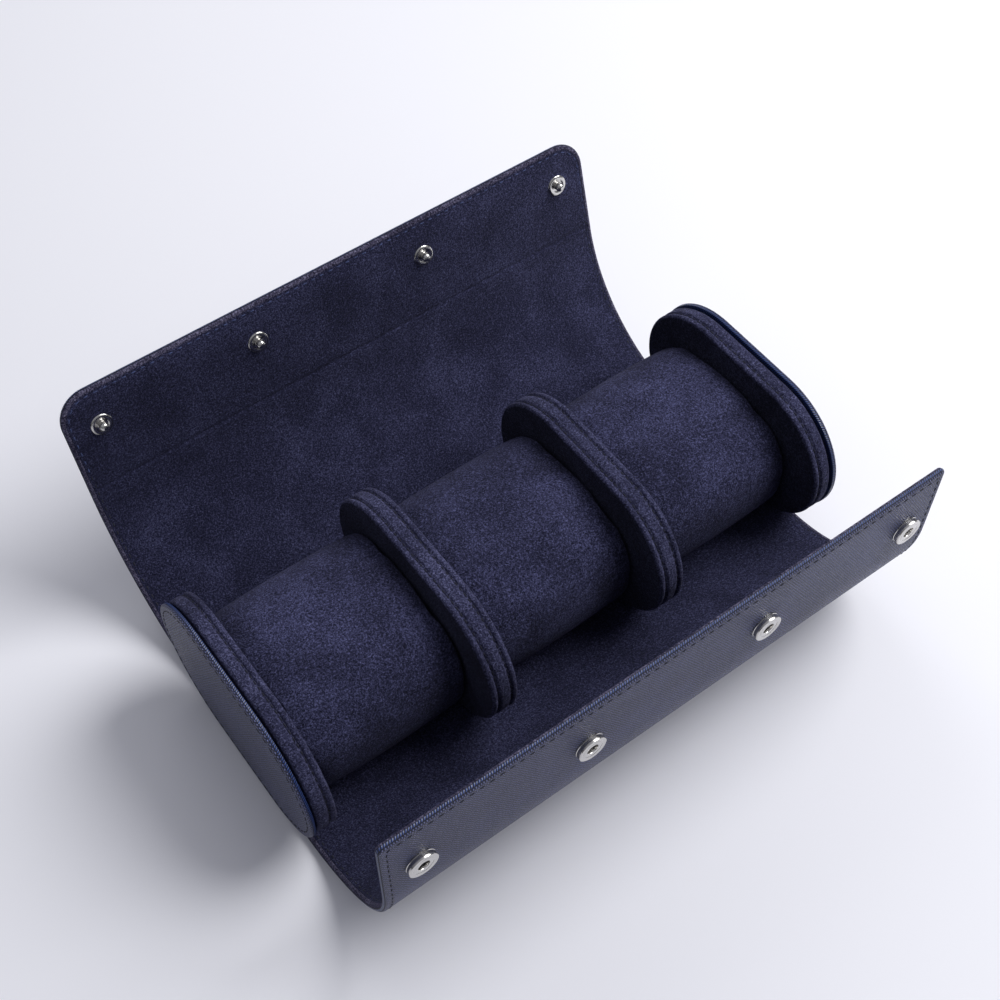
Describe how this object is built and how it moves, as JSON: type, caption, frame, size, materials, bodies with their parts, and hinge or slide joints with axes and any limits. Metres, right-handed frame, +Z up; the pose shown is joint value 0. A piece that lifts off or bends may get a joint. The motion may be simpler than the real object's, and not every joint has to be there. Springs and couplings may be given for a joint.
{
  "type": "watch travel case",
  "caption": "Roll-up travel case for watches: upright stadium panels and lift-out cushions in a leather wrap with a snap flap",
  "frame": {"origin": "centre of the floor's underside, midway between the end caps and between the panels' round ends", "axes": "+X along the roll, -Y towards the front wall, +Y towards the flap, +Z up"},
  "size_m": [0.205, 0.1801, 0.0815],
  "materials": {
    "leather": "cross-grain, semi-matt",
    "board": "grey board",
    "suede": "brushed microsuede",
    "suede_dark": "brushed microsuede",
    "foam": "polyether foam",
    "nickel": "polished nickel"
  },
  "bodies": {
    "base": {"floor_leather": "leather", "front_leather": "leather", "back_leather": "leather", "floor_board": "board", "floor_lining": "suede", "front_lining": "suede", "back_lining": "suede", "left_cap_leather": "leather", "left_cap_board": "board", "left_end_core": "foam", "left_end_band": "suede", "left_end_face": "suede_dark", "left_divider_core": "foam", "left_divider_band": "suede", "left_divider_faces": "suede_dark", "right_cap_leather": "leather", "right_cap_board": "board", "right_end_core": "foam", "right_end_band": "suede", "right_end_face": "suede_dark", "right_divider_core": "foam", "right_divider_band": "suede", "right_divider_faces": "suede_dark"},
    "front_1": {"front_slat_1": "board"},
    "front_2": {"front_slat_2": "board"},
    "front_3": {"front_slat_3": "board"},
    "front_4": {"front_slat_4": "board"},
    "front_5": {"front_slat_5": "board"},
    "front_edge": {"front_edge_board": "board", "snap_sockets": "nickel", "socket_rivets": "nickel"},
    "back_1": {"back_slat_1": "board"},
    "back_2": {"back_slat_2": "board"},
    "back_3": {"back_slat_3": "board"},
    "back_4": {"back_slat_4": "board"},
    "back_5": {"back_slat_5": "board"},
    "flap": {"flap_board": "board", "snap_studs": "nickel", "stud_rivets": "nickel"},
    "left_cushion": {"left_cushion_core": "foam", "left_cushion_sleeve": "suede"},
    "middle_cushion": {"middle_cushion_core": "foam", "middle_cushion_sleeve": "suede"},
    "right_cushion": {"right_cushion_core": "foam", "right_cushion_sleeve": "suede"}
  },
  "joints": [
    {"name": "front_fold_1", "type": "hinge", "parent": "base", "child": "front_1", "pos_m": [0, -0.02311, 0.0012], "axis": [1, 0, 0], "range_deg": [-27.31, 0], "deforming": ["front_leather", "front_lining"]},
    {"name": "front_fold_2", "type": "hinge", "parent": "front_1", "child": "front_2", "pos_m": [0, -0.03832, 0.00191], "axis": [1, 0, 0], "range_deg": [-13.93, 0]},
    {"name": "front_fold_3", "type": "hinge", "parent": "front_2", "child": "front_3", "pos_m": [0, -0.0527, 0.0068], "axis": [1, 0, 0], "range_deg": [-12.11, 0]},
    {"name": "front_fold_4", "type": "hinge", "parent": "front_3", "child": "front_4", "pos_m": [0, -0.06488, 0.01587], "axis": [1, 0, 0], "range_deg": [-12.11, 0]},
    {"name": "front_fold_5", "type": "hinge", "parent": "front_4", "child": "front_5", "pos_m": [0, -0.07368, 0.02825], "axis": [1, 0, 0], "range_deg": [-12.11, 0]},
    {"name": "front_fold_6", "type": "hinge", "parent": "front_5", "child": "front_edge", "pos_m": [0, -0.07826, 0.04273], "axis": [1, 0, 0], "range_deg": [-12.49, 0]},
    {"name": "back_fold_1", "type": "hinge", "parent": "base", "child": "back_1", "pos_m": [0, 0.02311, 0.0012], "axis": [-1, 0, 0], "range_deg": [-26.62, 0], "deforming": ["back_leather", "back_lining"]},
    {"name": "back_fold_2", "type": "hinge", "parent": "back_1", "child": "back_2", "pos_m": [0, 0.03846, 0.00211], "axis": [-1, 0, 0], "range_deg": [-16.23, 0]},
    {"name": "back_fold_3", "type": "hinge", "parent": "back_2", "child": "back_3", "pos_m": [0, 0.05313, 0.00664], "axis": [-1, 0, 0], "range_deg": [-15.5, 0]},
    {"name": "back_fold_4", "type": "hinge", "parent": "back_3", "child": "back_4", "pos_m": [0, 0.0662, 0.0147], "axis": [-1, 0, 0], "range_deg": [-15.5, 0]},
    {"name": "back_fold_5", "type": "hinge", "parent": "back_4", "child": "back_5", "pos_m": [0, 0.07684, 0.02578], "axis": [-1, 0, 0], "range_deg": [-15.5, 0]},
    {"name": "back_fold_6", "type": "hinge", "parent": "back_5", "child": "flap", "pos_m": [0, 0.08435, 0.03918], "axis": [-1, 0, 0], "range_deg": [-5.71, 0]},
    {"name": "left_cushion_lift", "type": "slide", "parent": "base", "child": "left_cushion", "axis": [0, 0, 1], "range_m": [0, 0.06]},
    {"name": "middle_cushion_lift", "type": "slide", "parent": "base", "child": "middle_cushion", "axis": [0, 0, 1], "range_m": [0, 0.06]},
    {"name": "right_cushion_lift", "type": "slide", "parent": "base", "child": "right_cushion", "axis": [0, 0, 1], "range_m": [0, 0.06]}
  ],
  "couplings": [
    {"joint": "front_fold_2", "follows": "front_fold_1", "ratio": 0.50972},
    {"joint": "front_fold_3", "follows": "front_fold_1", "ratio": 0.44286},
    {"joint": "front_fold_4", "follows": "front_fold_1", "ratio": 0.44286},
    {"joint": "front_fold_5", "follows": "front_fold_1", "ratio": 0.44286},
    {"joint": "front_fold_6", "follows": "front_fold_1", "ratio": 0.45703},
    {"joint": "back_fold_2", "follows": "back_fold_1", "ratio": 0.60922},
    {"joint": "back_fold_3", "follows": "back_fold_1", "ratio": 0.5818},
    {"joint": "back_fold_4", "follows": "back_fold_1", "ratio": 0.5818},
    {"joint": "back_fold_5", "follows": "back_fold_1", "ratio": 0.5818},
    {"joint": "back_fold_6", "follows": "back_fold_1", "ratio": 0.214}
  ]
}
